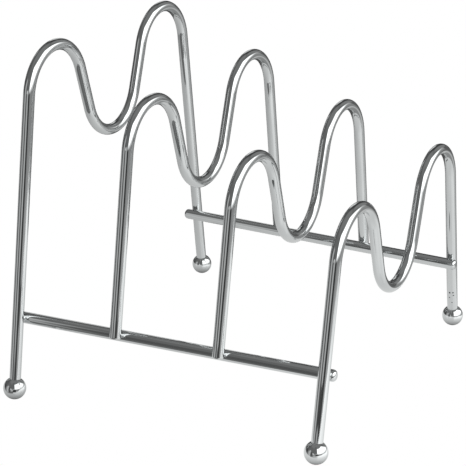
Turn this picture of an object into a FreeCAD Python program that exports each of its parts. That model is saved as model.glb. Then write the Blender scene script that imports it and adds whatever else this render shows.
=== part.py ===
import FreeCAD, Part
import math
import os

# Pot lid rack of round steel wire, welded and chrome-plated, in millimetres with +Z up.
# Lids stand on edge between four bent wires, in slots that get lower along +X.
# The origin is on the surface that the rack stands on, in the middle of its footprint.
# +X runs along the crossbars to the low end, and +Y points to the rear.

# Wire and feet
wire_diameter = 6.0
foot_diameter = 12.0
socket_floor_above_centre = 2.5  # where a leg's end seats in its ball, from the ball's centre
leg_end_rounding = 1.2
bar_end_rounding = 1.2

# Heights of the tops of the humps, from the tall end to the low end
tall_end_height = 182.0
second_height = 160.0
third_height = 138.0
low_end_height = 120.0

# The bend that the four lid wires share, measured on the wire's axis
hump_spacing = 111.0  # between the middles of a wire's two humps
hump_radius = 25.0
lean_of_limbs = 5.5  # across, from a hump's arc to the valley's, so that a straight limb fits
valley_radius = hump_spacing / 2 - hump_radius - lean_of_limbs
valley_depth = 58.0  # from the top of the humps to the bottom of the valley

# Slots for the lids, from one wire's axis to the next one's
first_slot = 57.0
second_slot = 57.0
third_slot = 55.5

# Crossbars: they lie inside the legs, and draw together towards the low end
bar_height = 42.0
bar_spread_at_tall_end = 186.0
bar_spread_at_low_end = 170.0
bar_overhang_at_tall_end = 5.5  # past the axis of the end wire
bar_overhang_at_low_end = 4.5
lap_on_bar = 3.0  # how far the cut legs of the middle wires reach down past the bars' tops

# Welds: each leg and crossbar are pressed into each other while they are hot
weld_set_down = 0.8
weld_bead_radius = 0.6  # of the metal squeezed out around the weld

same_point = 0.01  # two points nearer than this are one

wire_radius = wire_diameter / 2
foot_radius = foot_diameter / 2
weld_distance = wire_diameter - weld_set_down
tall_end_place = -(first_slot + second_slot + third_slot) / 2
second_place = tall_end_place + first_slot
third_place = second_place + second_slot
low_end_place = third_place + third_slot

FRONT = -1
REAR = 1

# Name, place along the rack, height, and whether its legs run down to feet
LID_WIRES = (
    ("tall_end_wire", tall_end_place, tall_end_height, True),
    ("second_wire", second_place, second_height, False),
    ("third_wire", third_place, third_height, False),
    ("low_end_wire", low_end_place, low_end_height, True),
)
FEET = (
    ("tall_front_foot", "tall_end_wire", tall_end_place, tall_end_height, FRONT),
    ("tall_rear_foot", "tall_end_wire", tall_end_place, tall_end_height, REAR),
    ("low_front_foot", "low_end_wire", low_end_place, low_end_height, FRONT),
    ("low_rear_foot", "low_end_wire", low_end_place, low_end_height, REAR),
)


def bar_offset(place):
    """How far the crossbars' axes are from the middle, at a place along the rack."""
    share = (place - tall_end_place) / (low_end_place - tall_end_place)
    spread = bar_spread_at_tall_end + share * (bar_spread_at_low_end - bar_spread_at_tall_end)
    return spread / 2


def hump_centre(height):
    """Across and up, for the hump of a wire whose top is at this height."""
    return hump_spacing / 2, height - wire_radius - hump_radius


def valley_centre(height):
    """Across and up, for the valley of a wire whose humps are at this height."""
    return 0.0, height - wire_radius - valley_depth + valley_radius


def leg_angle(place, height):
    """Angle of the leg's outward normal above level, which is also how far the leg splays.

    The leg leaves the hump's arc straight, and passes the crossbar at the weld's distance.
    """
    hump_y, hump_z = hump_centre(height)
    run = bar_offset(place) - hump_y
    rise = bar_height - hump_z
    reach = math.hypot(run, rise)
    return math.atan2(rise, run) + math.acos((hump_radius - weld_distance) / reach)


def limb_angle(height):
    """Angle above level of the normal to the straight limb between the valley and a hump."""
    hump_y, hump_z = hump_centre(height)
    valley_y, valley_z = valley_centre(height)
    run = hump_y - valley_y
    rise = hump_z - valley_z
    reach = math.hypot(run, rise)
    return math.atan2(rise, run) - math.acos((hump_radius + valley_radius) / reach)


def polar(centre, radius, angle):
    """Across and up, for a point of an arc at an angle above level."""
    across, up = centre
    return across + radius * math.cos(angle), up + radius * math.sin(angle)


def leg_point(place, height, up):
    """Across and up, for the point of the leg's axis at a height above the surface."""
    angle = leg_angle(place, height)
    top_y, top_z = polar(hump_centre(height), hump_radius, angle)
    return top_y + (top_z - up) * math.tan(angle), up


def on_side(place, side, point):
    """A point across and up, set at a place along the rack on its front or rear side."""
    across, up = point
    return FreeCAD.Vector(place, side * across, up)


def leg_end(place, height, footed):
    """Across and up, for the end of the leg's axis: in its foot, or lapping the crossbar."""
    if footed:
        above_centre = socket_floor_above_centre * math.cos(leg_angle(place, height))
        return leg_point(place, height, foot_radius + above_centre)
    return leg_point(place, height, bar_height + wire_radius - lap_on_bar)


def half_path(place, height, footed, side):
    """Leg, hump and limb on one side of a lid wire's axis, from the leg's end inwards."""
    hump = hump_centre(height)
    leg = leg_angle(place, height)
    limb = limb_angle(height)
    points = (
        leg_end(place, height, footed),
        polar(hump, hump_radius, leg),
        polar(hump, hump_radius, (leg + limb + math.pi) / 2),
        polar(hump, hump_radius, limb + math.pi),
        polar(valley_centre(height), valley_radius, limb),
    )
    end, leg_top, crest, limb_top, limb_foot = [on_side(place, side, point) for point in points]
    return [
        Part.LineSegment(end, leg_top).toShape(),
        Part.Arc(leg_top, crest, limb_top).toShape(),
        Part.LineSegment(limb_top, limb_foot).toShape(),
    ]


def valley_path(place, height):
    """The valley's arc, between the feet of the two limbs."""
    valley = valley_centre(height)
    limb_foot = polar(valley, valley_radius, limb_angle(height))
    bottom = polar(valley, valley_radius, -math.pi / 2)
    return Part.Arc(
        on_side(place, FRONT, limb_foot),
        on_side(place, FRONT, bottom),
        on_side(place, REAR, limb_foot),
    ).toShape()


def round_ends(solid, ends, rounding):
    """Rounds the circular rims whose centres are the two ends of a wire's axis."""
    rims = []
    for edge in solid.Edges:
        if any(edge.CenterOfMass.distanceToPoint(end) < same_point for end in ends):
            rims.append(edge)
    return solid.makeFillet(rounding, rims)


def lid_wire(place, height, footed):
    """One wire, bent with tangent arcs. Ends that show are rounded, and feet hide the others."""
    front = half_path(place, height, footed, FRONT)
    rear = half_path(place, height, footed, REAR)
    path = Part.Wire(front + [valley_path(place, height)] + rear[::-1])
    ends = [on_side(place, side, leg_end(place, height, footed)) for side in (FRONT, REAR)]
    along_leg = front[0].tangentAt(front[0].FirstParameter)
    section = Part.Wire(Part.Circle(ends[0], along_leg, wire_radius).toShape())
    bent = path.makePipeShell([section], True, False)
    if footed:
        return bent
    return round_ends(bent, ends, leg_end_rounding)


def weld_seams(welded, bar, wires):
    """The edges of the welded solid along which the bar's surface meets a leg's."""
    curves = Part.makeCompound([bar.section(wire) for wire in wires])
    seams = []
    for edge in welded.Edges:
        middle = edge.valueAt((edge.FirstParameter + edge.LastParameter) / 2)
        if Part.Vertex(middle).distToShape(curves)[0] < same_point:
            seams.append(edge)
    return seams


def crossbar(side, wires, footed_wires):
    """A straight bar with rounded ends, a shallow seat at each leg, and a bead where one crosses."""
    places = (tall_end_place - bar_overhang_at_tall_end, low_end_place + bar_overhang_at_low_end)
    ends = [on_side(place, side, (bar_offset(place), bar_height)) for place in places]
    start, end = ends
    bar = Part.makeCylinder(wire_radius, start.distanceToPoint(end), start, end - start)
    welded = bar.fuse(footed_wires)
    beaded = welded.makeFillet(weld_bead_radius, weld_seams(welded, bar, footed_wires))
    return round_ends(beaded.cut(Part.makeCompound(wires)), ends, bar_end_rounding)


def foot(wire, place, height, side):
    """A ball with a blind socket, in which the leg's end is seated."""
    centre = on_side(place, side, leg_point(place, height, foot_radius))
    return Part.makeSphere(foot_radius, centre).cut(wire)


def save(name, shape):
    """Writes one piece, a single solid, to its own file."""
    (solid,) = shape.Solids
    solid.exportStep(os.path.join("parts", name + ".step"))


def main():
    os.makedirs("parts", exist_ok=True)
    pieces = {name: lid_wire(place, height, footed) for name, place, height, footed in LID_WIRES}
    wires = list(pieces.values())
    footed_wires = [pieces[name] for name, place, height, footed in LID_WIRES if footed]
    pieces["front_crossbar"] = crossbar(FRONT, wires, footed_wires)
    pieces["rear_crossbar"] = crossbar(REAR, wires, footed_wires)
    for name, wire, place, height, side in FEET:
        pieces[name] = foot(pieces[wire], place, height, side)
    for name, shape in pieces.items():
        save(name, shape)


main()
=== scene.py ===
import math

import bmesh
import bpy
from mathutils import Matrix, Vector


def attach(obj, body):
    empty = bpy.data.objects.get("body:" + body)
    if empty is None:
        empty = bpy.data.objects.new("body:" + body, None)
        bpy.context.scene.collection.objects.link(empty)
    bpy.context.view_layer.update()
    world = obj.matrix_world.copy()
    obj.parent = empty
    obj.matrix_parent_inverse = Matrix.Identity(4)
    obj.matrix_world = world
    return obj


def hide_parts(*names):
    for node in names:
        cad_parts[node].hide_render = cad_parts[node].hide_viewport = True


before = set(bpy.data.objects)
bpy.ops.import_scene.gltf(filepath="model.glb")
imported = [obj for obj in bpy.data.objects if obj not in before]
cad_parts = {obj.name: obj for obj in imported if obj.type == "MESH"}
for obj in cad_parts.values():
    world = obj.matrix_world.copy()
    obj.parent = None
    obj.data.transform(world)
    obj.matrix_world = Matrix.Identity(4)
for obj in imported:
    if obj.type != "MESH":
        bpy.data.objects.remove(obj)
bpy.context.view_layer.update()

# Pot lid rack: bright chrome on bent round steel wire, standing on a white table.
# Sizes are in metres unless a comment says otherwise, and repeat those of the solids.

# Wire, bars and feet
WIRE_RADIUS = 0.003
FOOT_RADIUS = 0.006
HUMP_SPACING = 0.111
HUMP_RADIUS = 0.025
LEAN_OF_LIMBS = 0.0055
VALLEY_RADIUS = HUMP_SPACING / 2 - HUMP_RADIUS - LEAN_OF_LIMBS
VALLEY_DEPTH = 0.058
BAR_HEIGHT = 0.042
BAR_SPREAD_TALL = 0.186
BAR_SPREAD_LOW = 0.170
BAR_OVERHANG_TALL = 0.0055
BAR_OVERHANG_LOW = 0.0045
LAP_ON_BAR = 0.003
WELD_SET_DOWN = 0.0008
SOCKET_FLOOR_ABOVE_CENTRE = 0.0025
END_ROUNDING = 0.0012
BAR_END_ROUNDING = 0.0021  # the bars' ends are domed
HIDDEN_ROUNDING = 0.0002  # of the ends inside the feet
WELD_DISTANCE = 2 * WIRE_RADIUS - WELD_SET_DOWN
BEAD_THICKNESS = 0.20  # as a share of the wire's own

# Name, place along the rack, height, and whether its legs run down to feet
LID_WIRES = (
    ("tall_end_wire", -0.08475, 0.182, True),
    ("second_wire", -0.02775, 0.160, False),
    ("third_wire", 0.02925, 0.138, False),
    ("low_end_wire", 0.08475, 0.120, True),
)
TALL_END = LID_WIRES[0][1]
LOW_END = LID_WIRES[-1][1]
SIDES = (("front", -1), ("rear", 1))

# How finely the round stock is drawn
SIDES_OF_WIRE = 64
STEP_ALONG_ARC = 0.0006
STEPS_IN_ROUNDING = 10
STEPS_ROUND_BEAD = 48
CUTS_ACROSS_BALL = 31

# Chrome plate: its colours, and the sizes of its patterns in millimetres
CHROME_DARK = "#C8CACB"
CHROME_LIGHT = "#D2D4D4"
BARE_PIT = "#3C3F41"
TONE_PATCH = 17.0
HAZE_PATCH = 1.1
PLATING_WAVE = 25.0
LINES_ALONG_WIRE = 12.0

# Streaks to each radius of the wire: the die's own lines are finer, and wouldn't show
LINES_ROUND_WIRE = 2.5

# How rough the plate is, where it is clear, where it is hazy and in a pit
CLEAR_ROUGHNESS = 0.03
HAZY_ROUGHNESS = 0.06
PIT_ROUGHNESS = 0.5

# Where the haze starts and is full, in its noise, and a mark, in its half sizes from its centre
HAZE_STARTS = 0.35
HAZE_IS_FULL = 0.75
MARK_STARTS = 1.1
MARK_IS_FULL = 0.7

# Relief of the plate: two heights, and the share of them that the light feels
LINE_HEIGHT = 0.00003
WAVE_HEIGHT = 0.0001
RELIEF = 0.5

# Marks on the low end wire's rear leg: centre, lean of the leg in degrees, and half sizes in mm
MARKS = (
    ((0.0849, 0.0824, 0.0680), 10.8, (0.20, 0.8, 6.8)),
    ((0.0843, 0.0910, 0.0220), 0.0, (0.55, 0.7, 0.60)),
    ((0.0862, 0.0913, 0.0222), 0.0, (0.45, 0.7, 0.48)),
    ((0.0864, 0.0918, 0.0204), 0.0, (0.40, 0.7, 0.40)),
    ((0.0842, 0.0916, 0.0188), 0.0, (0.40, 0.7, 0.36)),
    ((0.0856, 0.0923, 0.0157), 0.0, (0.36, 0.7, 0.34)),
)

# What the chrome mirrors of the studio: a grey room with walls, lights and openings, each laid
# over those before it. A row gives left, right, bottom and top in degrees, the softness of the
# edges, and the brightness. Left and right are measured from +X towards +Y, and bottom and top
# from level upwards.
ROOM = 0.185
TINT_OF_ROOM = (0.995, 1.005, 1.0)
STUDIO = (
    (-200, 200, 56, 100, 10, 0.255),
    (62, 92, 5, 50, 8, 0.28),
    (92, 132, 2, 50, 8, 0.07),
    (130, 200, 2, 50, 8, 0.12),
    (-200, -155, -14, 46, 8, 0.14),
    (-200, -158, -5, 14, 8, 0.05),
    (113, 129, 6, 27, 6, 0.85),
    (151, 161, 10, 36, 5, 0.46),
    (-147, -119, -36, 18, 8, 0.46),
    (-138, -121, -20, 28, 6, 0.62),
    (-119, -101, -42, 20, 5, 0.12),
    (-96, -72, -12, 9, 5, 0.60),
    (-82, -67, 2, 28, 6, 0.44),
    (-76, -44, -24, -5, 5, 0.07),
    (-71, -44, -8, 4, 4, 0.05),
    (-44, 62, -10, 2, 3, 0.33),
    (-44, 62, -30, -8, 6, 0.48),
    (30, 62, -6, 3, 5, 0.58),
    (8, 92, -35, -20, 8, 0.64),
    (8, 92, -60, -33, 8, 0.36),
    (-46, -12, 3, 8, 4, 0.70),
    (-12, 62, 1, 9, 5, 0.88),
    (62, 92, -22, 4, 6, 0.14),
    (59, 70, -22, 4, 5, 0.34),
    (58, 70, -1, 14, 5, 0.50),
    (92, 147, -50, 4, 8, 0.09),
    (147, 200, -60, -6, 8, 0.56),
    (-160, -60, -70, -25, 10, 0.18),
    (-52, -20, -50, -30, 8, 0.95),
    (-72, -38, -34, -23, 6, 1.20),
)
# The soft light slants, by so many degrees for each degree up, and the room hides its left part
SOFT_LIGHT = (-62, 68, 9.5, 55, 12, 2.5)
SOFT_LIGHT_SLANT = 0.65
LEFT_OF_SOFT_LIGHT = (-100, -54, 9, 75, 12, ROOM)
SMALL_LIGHT = (-99, -91, 6, 12, 3, 1.8)

# The part of the table that the chrome mirrors: left, right, front, rear and softness of edges
TABLE_NEAR = (-0.40, 0.42, -0.118, 0.40, 0.006)
TABLE_REAR_EDGE = 0.125
REAR_EDGE_SOFTNESS = 0.02
TABLE_SPILL = (0.09, 0.25, -0.14, 0.0, 0.04)

# A painted shadow: a dark patch glowing on the floor in front of the low end, standing in for the
# shade there
PAINTED_SHADOW_PATCH = (0.04, 0.16, -0.40, -0.20, 0.04)
PAINTED_SHADOW_BRIGHTNESS = 0.08

# Light on the table: dim as far as one place along it and bright from another. Two parts, given
# as those above, have a brightness of their own, and a shade lies so far round the feet.
DIM_UNTIL = -0.25
BRIGHT_FROM = 0.10
TABLE_DIM = 0.56
TABLE_BRIGHT = 0.83
BRIGHT_SPOT = (0.05, 0.25, -0.14, -0.05, 0.08, 0.95)
FAR_RIGHT = (0.28, 0.60, -0.40, 0.40, 0.10, 0.46)
SHADE_OF_FEET = 0.012

# White laminate
LAMINATE_IOR = 1.5
LAMINATE_ROUGHNESS = 0.15
TABLE_HALF_WIDTH = 4.0
WHITE = (1.0, 1.0, 1.0, 1.0)

# Camera, at the photograph's viewing angle. The image is 466 pixels wide and high.
CAMERA_PLACE = Vector((0.35683, -0.72156, 0.35977))
CAMERA_YAW = math.radians(26.946)
CAMERA_PITCH = math.radians(19.594)
CAMERA_ROLL = math.radians(0.276)
IMAGE_WIDTH = 466
FOCAL_PIXELS = 1579.32
SENSOR_WIDTH = 36.0  # millimetres
NEAREST_SEEN = 0.01
FARTHEST_SEEN = 20.0


def linear(hex_colour):
    """An sRGB hex colour as linear red, green, blue and a full alpha."""
    parts = [int(hex_colour[i : i + 2], 16) / 255 for i in (1, 3, 5)]
    return [c / 12.92 if c <= 0.04045 else ((c + 0.055) / 1.055) ** 2.4 for c in parts] + [1.0]


def grey(brightness):
    """A grey of the room, with the faint green that its walls throw."""
    return [brightness * part for part in TINT_OF_ROOM] + [1.0]


def per_size(size_mm):
    """The scale of a pattern in metres whose features are so many millimetres across."""
    return 1000 / size_mm


def add_node(tree, kind, settings=None, inputs=None, links=None):
    """Adds a node, sets its properties and input values, and links its inputs from other sockets."""
    node = tree.nodes.new(kind)
    for key, value in (settings or {}).items():
        setattr(node, key, value)
    for key, value in (inputs or {}).items():
        node.inputs[key].default_value = value
    for key, source in (links or {}).items():
        tree.links.new(source, node.inputs[key])
    return node


# Shapes of the wires, worked out as the solids are


def bar_offset(place):
    """How far a crossbar's axis is from the middle, at a place along the rack."""
    share = (place - TALL_END) / (LOW_END - TALL_END)
    return (BAR_SPREAD_TALL + share * (BAR_SPREAD_LOW - BAR_SPREAD_TALL)) / 2


def wire_bend(place, height):
    """Centres of the hump and the valley, and the angles at which leg and limb leave the hump."""
    hump = Vector((HUMP_SPACING / 2, height - WIRE_RADIUS - HUMP_RADIUS))
    valley = Vector((0.0, height - WIRE_RADIUS - VALLEY_DEPTH + VALLEY_RADIUS))
    to_bar = Vector((bar_offset(place), BAR_HEIGHT)) - hump
    leg = math.atan2(to_bar.y, to_bar.x) + math.acos((HUMP_RADIUS - WELD_DISTANCE) / to_bar.length)
    to_hump = hump - valley
    lean = math.acos((HUMP_RADIUS + VALLEY_RADIUS) / to_hump.length)
    limb = math.atan2(to_hump.y, to_hump.x) - lean
    return hump, valley, leg, limb


def polar(centre, radius, angle):
    """A point of an arc at an angle above level."""
    return centre + radius * Vector((math.cos(angle), math.sin(angle)))


def leg_point(place, height, up):
    """Across and up, for the point of a leg's axis at a height above the table."""
    hump, _, leg, _ = wire_bend(place, height)
    top = polar(hump, HUMP_RADIUS, leg)
    return Vector((top.x + (top.y - up) * math.tan(leg), up))


def leg_end(place, height, footed):
    """Where a leg's axis ends: in its foot's socket, or lapping the crossbar."""
    if footed:
        leg = wire_bend(place, height)[2]
        return leg_point(place, height, FOOT_RADIUS + SOCKET_FLOOR_ABOVE_CENTRE * math.cos(leg))
    return leg_point(place, height, BAR_HEIGHT + WIRE_RADIUS - LAP_ON_BAR)


def arc_points(centre, radius, start, stop):
    """Points along an arc, without its last one."""
    steps = math.ceil(abs(stop - start) * radius / STEP_ALONG_ARC)
    return [polar(centre, radius, start + (stop - start) * i / steps) for i in range(steps)]


def wire_axis(place, height, footed):
    """Points of a lid wire's axis, from the front leg's end over both humps to the rear leg's end."""
    hump, valley, leg, limb = wire_bend(place, height)
    half = [leg_end(place, height, footed)]
    half += arc_points(hump, HUMP_RADIUS, leg, limb + math.pi)
    half += [polar(hump, HUMP_RADIUS, limb + math.pi)]
    half += arc_points(valley, VALLEY_RADIUS, limb, -math.pi / 2)
    front = [Vector((place, -p.x, p.y)) for p in half]
    rear = [Vector((place, p.x, p.y)) for p in half]
    return front + [Vector((place, 0.0, valley.y - VALLEY_RADIUS))] + rear[::-1]


def bar_axis(side):
    """The two ends of a crossbar's axis."""
    places = (TALL_END - BAR_OVERHANG_TALL, LOW_END + BAR_OVERHANG_LOW)
    return [Vector((place, side * bar_offset(place), BAR_HEIGHT)) for place in places]


def rounded_stock(points, rounding):
    """Points of an axis, each with the wire's thickness there, which narrows to rounded ends."""
    into = (points[1] - points[0]).normalized()
    back = (points[-2] - points[-1]).normalized()
    head, tail = [], []
    for i in range(STEPS_IN_ROUNDING + 1):
        angle = math.pi / 2 * i / STEPS_IN_ROUNDING
        depth = rounding * (1 - math.cos(angle))
        thickness = 1 - rounding / WIRE_RADIUS * (1 - math.sin(angle))
        head.append((points[0] + into * depth, thickness))
        tail.append((points[-1] + back * depth, thickness))
    return head + [(point, 1.0) for point in points[1:-1]] + tail[::-1]


def weld_bead(side, place, height, footed):
    """Points of the bead where a leg crosses a bar, each with its thickness, and if it closes.

    Leg and bar are round and of one radius. Round the bar by an angle from where it faces the
    leg, the seam is at the two places along the bar where the leg's surface is as far out.
    """
    leg = wire_bend(place, height)[2]
    ends = bar_axis(side)
    along = (ends[1] - ends[0]).normalized()
    out = Vector((0.0, side * math.cos(leg), math.sin(leg)))
    up = Vector((0.0, -side * math.sin(leg), math.cos(leg)))
    centre = Vector((place, side * bar_offset(place), BAR_HEIGHT))
    widest = math.acos(WELD_DISTANCE / WIRE_RADIUS - 1)
    points = []
    for i in range(STEPS_ROUND_BEAD):
        turn = 2 * math.pi * i / STEPS_ROUND_BEAD - math.pi / 2
        angle = widest * math.sin(turn)
        depth = WELD_DISTANCE - WIRE_RADIUS * math.cos(angle)
        reach = math.sqrt(max(WIRE_RADIUS**2 - depth**2, 0.0))
        round_bar = WIRE_RADIUS * (math.cos(angle) * out + math.sin(angle) * up)
        points.append(centre + round_bar + math.copysign(reach, math.cos(turn)) * along)
    if footed:
        return [(point, BEAD_THICKNESS) for point in points], True
    above = BAR_HEIGHT + WIRE_RADIUS - LAP_ON_BAR + END_ROUNDING
    kept = [(point, BEAD_THICKNESS) for point in points if point.z > above]
    return kept, False


# Drawn wire, made with one Geometry Nodes tree that carries a round section along a curve


def drawn_wire_tree():
    """Sweeps a circle along the piece's own edges, as thick as each point says."""
    tree = bpy.data.node_groups.new("drawn_wire", "GeometryNodeTree")
    given_sockets = (
        ("Geometry", "NodeSocketGeometry"),
        ("Wire radius", "NodeSocketFloat"),
        ("Sides", "NodeSocketInt"),
        ("Finish", "NodeSocketMaterial"),
    )
    for name, kind in given_sockets:
        tree.interface.new_socket(name, in_out="INPUT", socket_type=kind)
    tree.interface.new_socket("Geometry", in_out="OUTPUT", socket_type="NodeSocketGeometry")
    given = add_node(tree, "NodeGroupInput").outputs
    curve = add_node(tree, "GeometryNodeMeshToCurve", links={"Mesh": given["Geometry"]})
    length = add_node(tree, "GeometryNodeSplineParameter").outputs["Length"]
    axis = add_node(
        tree,
        "GeometryNodeStoreNamedAttribute",
        {"data_type": "FLOAT", "domain": "POINT"},
        {"Name": "along"},
        {"Geometry": curve.outputs["Curve"], "Value": length},
    )
    circle = add_node(
        tree,
        "GeometryNodeCurvePrimitiveCircle",
        inputs={"Radius": 1.0},
        links={"Resolution": given["Sides"]},
    )
    position = add_node(tree, "GeometryNodeInputPosition").outputs["Position"]
    section = add_node(
        tree,
        "GeometryNodeStoreNamedAttribute",
        {"data_type": "FLOAT_VECTOR", "domain": "POINT"},
        {"Name": "around"},
        {"Geometry": circle.outputs["Curve"], "Value": position},
    )
    thickness = add_node(
        tree, "GeometryNodeInputNamedAttribute", {"data_type": "FLOAT"}, {"Name": "thickness"}
    )
    radius = add_node(
        tree,
        "ShaderNodeMath",
        {"operation": "MULTIPLY"},
        links={0: given["Wire radius"], 1: thickness.outputs["Attribute"]},
    )
    swept = add_node(
        tree,
        "GeometryNodeCurveToMesh",
        inputs={"Fill Caps": True},
        links={
            "Curve": axis.outputs["Geometry"],
            "Profile Curve": section.outputs["Geometry"],
            "Scale": radius.outputs[0],
        },
    )
    smooth = add_node(
        tree, "GeometryNodeSetShadeSmooth", links={"Geometry": swept.outputs["Mesh"]}
    )
    real = add_node(
        tree, "GeometryNodeRealizeInstances", links={"Geometry": smooth.outputs["Geometry"]}
    )
    finished = add_node(
        tree,
        "GeometryNodeSetMaterial",
        links={"Geometry": real.outputs["Geometry"], "Material": given["Finish"]},
    )
    out = add_node(tree, "NodeGroupOutput")
    tree.links.new(finished.outputs["Geometry"], out.inputs[0])
    return tree


def draw_wire(name, axis, beads, tree, finish):
    """A plain mesh of round stock along an axis, with its weld beads."""
    points, edges = list(axis), [(i, i + 1) for i in range(len(axis) - 1)]
    for bead, closed in beads:
        first = len(points)
        points += bead
        edges += [(i, i + 1) for i in range(first, len(points) - 1)]
        if closed:
            edges.append((len(points) - 1, first))
    mesh = bpy.data.meshes.new(name + "_axis")
    mesh.from_pydata([tuple(point) for point, _ in points], edges, [])
    thickness = mesh.attributes.new("thickness", "FLOAT", "POINT")
    thickness.data.foreach_set("value", [share for _, share in points])
    piece = bpy.data.objects.new(name, mesh)
    bpy.context.scene.collection.objects.link(piece)
    modifier = piece.modifiers.new("drawn_wire", "NODES")
    modifier.node_group = tree
    values = {"Wire radius": WIRE_RADIUS, "Sides": SIDES_OF_WIRE, "Finish": finish}
    for item in tree.interface.items_tree:
        if item.in_out == "INPUT" and item.name in values:
            modifier[item.identifier] = values[item.name]
    evaluated = piece.evaluated_get(bpy.context.evaluated_depsgraph_get())
    piece.data = bpy.data.meshes.new_from_object(evaluated)
    piece.data.name = name
    piece.modifiers.clear()
    return piece


# Chrome


def nearest_mark(tree, place):
    """How far each point is from the nearest mark's centre, in that mark's half sizes."""
    nearest = None
    for centre, lean, half_sizes in MARKS:
        fitted = add_node(
            tree,
            "ShaderNodeMapping",
            {"vector_type": "TEXTURE"},
            {
                "Location": centre,
                "Rotation": (math.radians(lean), 0.0, 0.0),
                "Scale": [size / 1000 for size in half_sizes],
            },
            {"Vector": place},
        )
        length = add_node(
            tree,
            "ShaderNodeVectorMath",
            {"operation": "LENGTH"},
            links={0: fitted.outputs["Vector"]},
        ).outputs["Value"]
        if nearest is None:
            nearest = length
        else:
            nearest = add_node(
                tree, "ShaderNodeMath", {"operation": "MINIMUM"}, links={0: nearest, 1: length}
            ).outputs[0]
    return nearest


def bright_chrome():
    """Bright nickel-chrome electroplate on drawn steel wire.

    It mirrors the room, a little darker than the room is. The die leaves faint lines along the
    wire under the plating, and the plating is a touch wavy and hazy. On one leg a hair scratch
    and a few pits go through to the bare steel.
    """
    material = bpy.data.materials.new("bright_chrome_plate")
    material.use_nodes = True
    tree = material.node_tree
    tree.nodes.clear()
    place = add_node(tree, "ShaderNodeTexCoord").outputs["Object"]
    tone = add_node(
        tree,
        "ShaderNodeTexNoise",
        inputs={"Scale": per_size(TONE_PATCH), "Detail": 2.0},
        links={"Vector": place},
    )
    plated = add_node(
        tree,
        "ShaderNodeMix",
        {"data_type": "RGBA"},
        {"A": linear(CHROME_DARK), "B": linear(CHROME_LIGHT)},
        {"Factor": tone.outputs["Fac"]},
    )
    haze = add_node(
        tree,
        "ShaderNodeTexNoise",
        inputs={"Scale": per_size(HAZE_PATCH), "Detail": 3.0},
        links={"Vector": place},
    )
    gloss = add_node(
        tree,
        "ShaderNodeMapRange",
        inputs={
            "From Min": HAZE_STARTS,
            "From Max": HAZE_IS_FULL,
            "To Min": CLEAR_ROUGHNESS,
            "To Max": HAZY_ROUGHNESS,
        },
        links={"Value": haze.outputs["Fac"]},
    )
    marked = add_node(
        tree,
        "ShaderNodeMapRange",
        inputs={"From Min": MARK_STARTS, "From Max": MARK_IS_FULL},
        links={"Value": nearest_mark(tree, place)},
    ).outputs["Result"]
    colour = add_node(
        tree,
        "ShaderNodeMix",
        {"data_type": "RGBA"},
        {"B": linear(BARE_PIT)},
        {"A": plated.outputs["Result"], "Factor": marked},
    )
    rough = add_node(
        tree,
        "ShaderNodeMapRange",
        inputs={"To Max": PIT_ROUGHNESS},
        links={"Value": marked, "To Min": gloss.outputs["Result"]},
    )
    around = add_node(tree, "ShaderNodeAttribute", {"attribute_name": "around"})
    along = add_node(tree, "ShaderNodeAttribute", {"attribute_name": "along"})
    drawn = add_node(
        tree,
        "ShaderNodeMath",
        {"operation": "MULTIPLY"},
        {1: per_size(LINES_ALONG_WIRE) / LINES_ROUND_WIRE},
        {0: along.outputs["Fac"]},
    )
    lines = add_node(
        tree,
        "ShaderNodeTexNoise",
        {"noise_dimensions": "4D"},
        {"Scale": LINES_ROUND_WIRE, "Detail": 1.0},
        {"Vector": around.outputs["Vector"], "W": drawn.outputs[0]},
    )
    lined = add_node(
        tree,
        "ShaderNodeBump",
        inputs={"Strength": RELIEF, "Distance": LINE_HEIGHT},
        links={"Height": lines.outputs["Fac"]},
    )
    wave = add_node(
        tree,
        "ShaderNodeTexNoise",
        inputs={"Scale": per_size(PLATING_WAVE), "Detail": 1.0},
        links={"Vector": place},
    )
    wavy = add_node(
        tree,
        "ShaderNodeBump",
        inputs={"Strength": RELIEF, "Distance": WAVE_HEIGHT},
        links={"Height": wave.outputs["Fac"], "Normal": lined.outputs["Normal"]},
    )
    shader = add_node(
        tree,
        "ShaderNodeBsdfPrincipled",
        inputs={"Metallic": 1.0},
        links={
            "Base Color": colour.outputs["Result"],
            "Roughness": rough.outputs["Result"],
            "Normal": wavy.outputs["Normal"],
        },
    )
    out = add_node(tree, "ShaderNodeOutputMaterial")
    tree.links.new(shader.outputs["BSDF"], out.inputs["Surface"])
    return material


# The rack's pieces


def make_lid_wires(tree, finish):
    """The four bent wires, from the tall end to the low end."""
    for name, place, height, footed in LID_WIRES:
        rounding = HIDDEN_ROUNDING if footed else END_ROUNDING
        axis = rounded_stock(wire_axis(place, height, footed), rounding)
        piece = draw_wire(name + "_chrome", axis, [], tree, finish)
        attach(piece, "root")
        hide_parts(name)


def make_crossbars(tree, finish):
    """The two bars inside the legs, with a bead of weld metal at each leg."""
    for side_name, side in SIDES:
        axis = rounded_stock(bar_axis(side), BAR_END_ROUNDING)
        beads = [weld_bead(side, place, height, footed) for _, place, height, footed in LID_WIRES]
        piece = draw_wire(side_name + "_crossbar_chrome", axis, beads, tree, finish)
        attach(piece, "root")
        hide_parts(side_name + "_crossbar")


def ball(name, centre, finish):
    """A smooth ball of even squares, closed all round."""
    shape = bmesh.new()
    bmesh.ops.create_cube(shape, size=2.0)
    bmesh.ops.subdivide_edges(
        shape, edges=shape.edges[:], cuts=CUTS_ACROSS_BALL, use_grid_fill=True
    )
    for vertex in shape.verts:
        vertex.co = Vector(centre) + vertex.co.normalized() * FOOT_RADIUS
    bmesh.ops.recalc_face_normals(shape, faces=shape.faces[:])
    for face in shape.faces:
        face.smooth = True
    mesh = bpy.data.meshes.new(name)
    shape.to_mesh(mesh)
    shape.free()
    mesh.materials.append(finish)
    piece = bpy.data.objects.new(name, mesh)
    bpy.context.scene.collection.objects.link(piece)
    return piece


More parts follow.
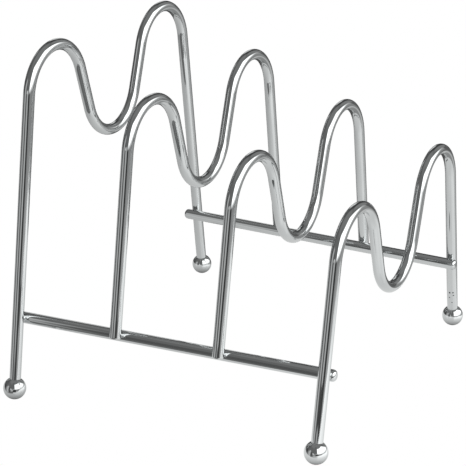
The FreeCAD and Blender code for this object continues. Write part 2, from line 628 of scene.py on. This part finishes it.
def make_feet(finish):
    """The four ball feet, under the legs of the two end wires."""
    for end_name, wire in (("tall", LID_WIRES[0]), ("low", LID_WIRES[-1])):
        _, place, height, _ = wire
        foot = leg_point(place, height, FOOT_RADIUS)
        for side_name, side in SIDES:
            node = "%s_%s_foot" % (end_name, side_name)
            piece = ball(node + "_chrome", (place, side * foot.x, foot.y), finish)
            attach(piece, "root")
            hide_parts(node)


# The table, the studio round it and the camera


def band(tree, value, low, high, soft):
    """One between two values and nothing outside them, with soft edges."""
    middle, half = (low + high) / 2, (high - low) / 2
    offset = add_node(tree, "ShaderNodeMath", {"operation": "SUBTRACT"}, {1: middle}, {0: value})
    away = add_node(tree, "ShaderNodeMath", {"operation": "ABSOLUTE"}, links={0: offset.outputs[0]})
    edge = add_node(
        tree,
        "ShaderNodeMapRange",
        {"interpolation_type": "SMOOTHSTEP"},
        {"From Min": half + soft / 2, "From Max": half - soft / 2},
        {"Value": away.outputs[0]},
    )
    return edge.outputs["Result"]


def patch(tree, across, up, left, right, bottom, top, soft):
    """A soft-edged rectangle in two coordinates."""
    wide = band(tree, across, left, right, soft)
    high = band(tree, up, bottom, top, soft)
    return add_node(
        tree, "ShaderNodeMath", {"operation": "MULTIPLY"}, links={0: wide, 1: high}
    ).outputs[0]


def laid_over(tree, under, across, up, left, right, bottom, top, soft, brightness):
    """A colour with a soft-edged rectangle of grey on it, such as a light or an opening."""
    return add_node(
        tree,
        "ShaderNodeMix",
        {"data_type": "RGBA"},
        {"B": grey(brightness)},
        {"A": under, "Factor": patch(tree, across, up, left, right, bottom, top, soft)},
    ).outputs["Result"]


def white_table_top():
    """Glossy white laminate.

    The camera sees plain white, as in the photograph. The chrome sees the part of the table
    near the rack, with a shade round the feet and the soft light's sheen on it. Past the edges
    of that part it sees a painted shadow in front of the low end, and elsewhere the room.
    """
    material = bpy.data.materials.new("white_table_top")
    material.use_nodes = True
    tree = material.node_tree
    tree.nodes.clear()
    place = add_node(tree, "ShaderNodeTexCoord").outputs["Object"]
    split = add_node(tree, "ShaderNodeSeparateXYZ", links={"Vector": place})
    x, y = split.outputs["X"], split.outputs["Y"]
    brighter = add_node(
        tree,
        "ShaderNodeMapRange",
        {"interpolation_type": "SMOOTHSTEP"},
        {"From Min": DIM_UNTIL, "From Max": BRIGHT_FROM},
        {"Value": x},
    )
    lit = add_node(
        tree,
        "ShaderNodeMix",
        {"data_type": "RGBA"},
        {"A": grey(TABLE_DIM), "B": grey(TABLE_BRIGHT)},
        {"Factor": brighter.outputs["Result"]},
    ).outputs["Result"]
    lit = laid_over(tree, lit, x, y, *BRIGHT_SPOT)
    lit = laid_over(tree, lit, x, y, *FAR_RIGHT)
    shaded = add_node(
        tree,
        "ShaderNodeAmbientOcclusion",
        inputs={"Distance": SHADE_OF_FEET},
        links={"Color": lit},
    )
    lit_top = add_node(tree, "ShaderNodeEmission", links={"Color": shaded.outputs["Color"]})
    mirror = add_node(tree, "ShaderNodeFresnel", inputs={"IOR": LAMINATE_IOR})
    sheen = add_node(
        tree,
        "ShaderNodeBsdfGlossy",
        inputs={"Roughness": LAMINATE_ROUGHNESS},
        links={"Color": mirror.outputs[0]},
    )
    near_top = add_node(
        tree, "ShaderNodeAddShader", links={0: lit_top.outputs[0], 1: sheen.outputs[0]}
    )
    within = patch(tree, x, y, *TABLE_NEAR)
    rear = band(tree, y, -TABLE_NEAR[3], TABLE_REAR_EDGE, REAR_EDGE_SOFTNESS)
    kept = add_node(tree, "ShaderNodeMath", {"operation": "MULTIPLY"}, links={0: within, 1: rear})
    spill = patch(tree, x, y, *TABLE_SPILL)
    either = add_node(
        tree, "ShaderNodeMath", {"operation": "MAXIMUM"}, links={0: kept.outputs[0], 1: spill}
    )
    room = add_node(tree, "ShaderNodeBsdfTransparent")
    # Painted shadow: a dark glow on the floor in front of the low end, past the table's edge
    painted_shadow = add_node(tree, "ShaderNodeEmission", inputs={"Color": grey(PAINTED_SHADOW_BRIGHTNESS)})
    in_painted_shadow = patch(tree, x, y, *PAINTED_SHADOW_PATCH)
    past_edge = add_node(
        tree, "ShaderNodeMixShader", links={0: in_painted_shadow, 1: room.outputs[0], 2: painted_shadow.outputs[0]}
    )
    mirrored = add_node(
        tree,
        "ShaderNodeMixShader",
        links={0: either.outputs[0], 1: past_edge.outputs[0], 2: near_top.outputs[0]},
    )
    white = add_node(tree, "ShaderNodeEmission", inputs={"Color": WHITE})
    ray = add_node(tree, "ShaderNodeLightPath")
    top = add_node(
        tree,
        "ShaderNodeMixShader",
        links={0: ray.outputs["Is Glossy Ray"], 1: white.outputs[0], 2: mirrored.outputs[0]},
    )
    out = add_node(tree, "ShaderNodeOutputMaterial")
    tree.links.new(top.outputs[0], out.inputs["Surface"])
    return material


def make_table():
    """A table top that fills the picture."""
    mesh = bpy.data.meshes.new("table")
    half = TABLE_HALF_WIDTH
    corners = [(-half, -half, 0), (half, -half, 0), (half, half, 0), (-half, half, 0)]
    mesh.from_pydata(corners, [], [(0, 1, 2, 3)])
    mesh.materials.append(white_table_top())
    table = bpy.data.objects.new("table", mesh)
    bpy.context.scene.collection.objects.link(table)


def make_studio():
    """The room as the chrome sees it, with a wide soft light to the right of the rack.

    All else in the scene is lit an even white.
    """
    world = bpy.data.worlds.new("studio")
    bpy.context.scene.world = world
    world.use_nodes = True
    tree = world.node_tree
    tree.nodes.clear()
    towards = add_node(tree, "ShaderNodeTexCoord").outputs["Generated"]
    split = add_node(tree, "ShaderNodeSeparateXYZ", links={"Vector": towards})
    x, y, z = [split.outputs[axis] for axis in "XYZ"]
    rise = add_node(tree, "ShaderNodeMath", {"operation": "ARCSINE"}, links={0: z})
    turn = add_node(tree, "ShaderNodeMath", {"operation": "ARCTAN2"}, links={0: y, 1: x})
    around, up = [
        add_node(
            tree, "ShaderNodeMath", {"operation": "DEGREES"}, links={0: angle.outputs[0]}
        ).outputs[0]
        for angle in (turn, rise)
    ]
    room = add_node(tree, "ShaderNodeRGB")
    room.outputs[0].default_value = grey(ROOM)
    seen = room.outputs[0]
    for part in STUDIO:
        seen = laid_over(tree, seen, around, up, *part)
    slanted = add_node(
        tree,
        "ShaderNodeMath",
        {"operation": "MULTIPLY_ADD"},
        {1: SOFT_LIGHT_SLANT},
        {0: up, 2: around},
    ).outputs[0]
    seen = laid_over(tree, seen, slanted, up, *SOFT_LIGHT)
    seen = laid_over(tree, seen, around, up, *LEFT_OF_SOFT_LIGHT)
    seen = laid_over(tree, seen, around, up, *SMALL_LIGHT)
    mirrored = add_node(tree, "ShaderNodeBackground", links={"Color": seen})
    even = add_node(tree, "ShaderNodeBackground", inputs={"Color": WHITE})
    ray = add_node(tree, "ShaderNodeLightPath")
    both = add_node(
        tree,
        "ShaderNodeMixShader",
        links={0: ray.outputs["Is Glossy Ray"], 1: even.outputs[0], 2: mirrored.outputs[0]},
    )
    out = add_node(tree, "ShaderNodeOutputWorld")
    tree.links.new(both.outputs[0], out.inputs["Surface"])


def make_camera():
    """The camera where the photograph was taken from."""
    data = bpy.data.cameras.new("camera")
    camera = bpy.data.objects.new("camera", data)
    bpy.context.scene.collection.objects.link(camera)
    turn = Matrix.Rotation(CAMERA_YAW, 3, "Z")
    tilt = Matrix.Rotation(math.pi / 2 - CAMERA_PITCH, 3, "X")
    roll = Matrix.Rotation(CAMERA_ROLL, 3, "Z")
    camera.matrix_world = Matrix.Translation(CAMERA_PLACE) @ (turn @ tilt @ roll).to_4x4()
    data.sensor_fit = "HORIZONTAL"
    data.sensor_width = SENSOR_WIDTH
    data.lens = FOCAL_PIXELS / IMAGE_WIDTH * SENSOR_WIDTH
    data.clip_start = NEAREST_SEEN
    data.clip_end = FARTHEST_SEEN
    bpy.context.scene.camera = camera


def set_colours():
    """Shows white as white."""
    view = bpy.context.scene.view_settings
    view.view_transform = "Standard"
    view.look = "None"


chrome = bright_chrome()
wire_tree = drawn_wire_tree()
make_lid_wires(wire_tree, chrome)
make_crossbars(wire_tree, chrome)
make_feet(chrome)
make_table()
make_studio()
make_camera()
set_colours()
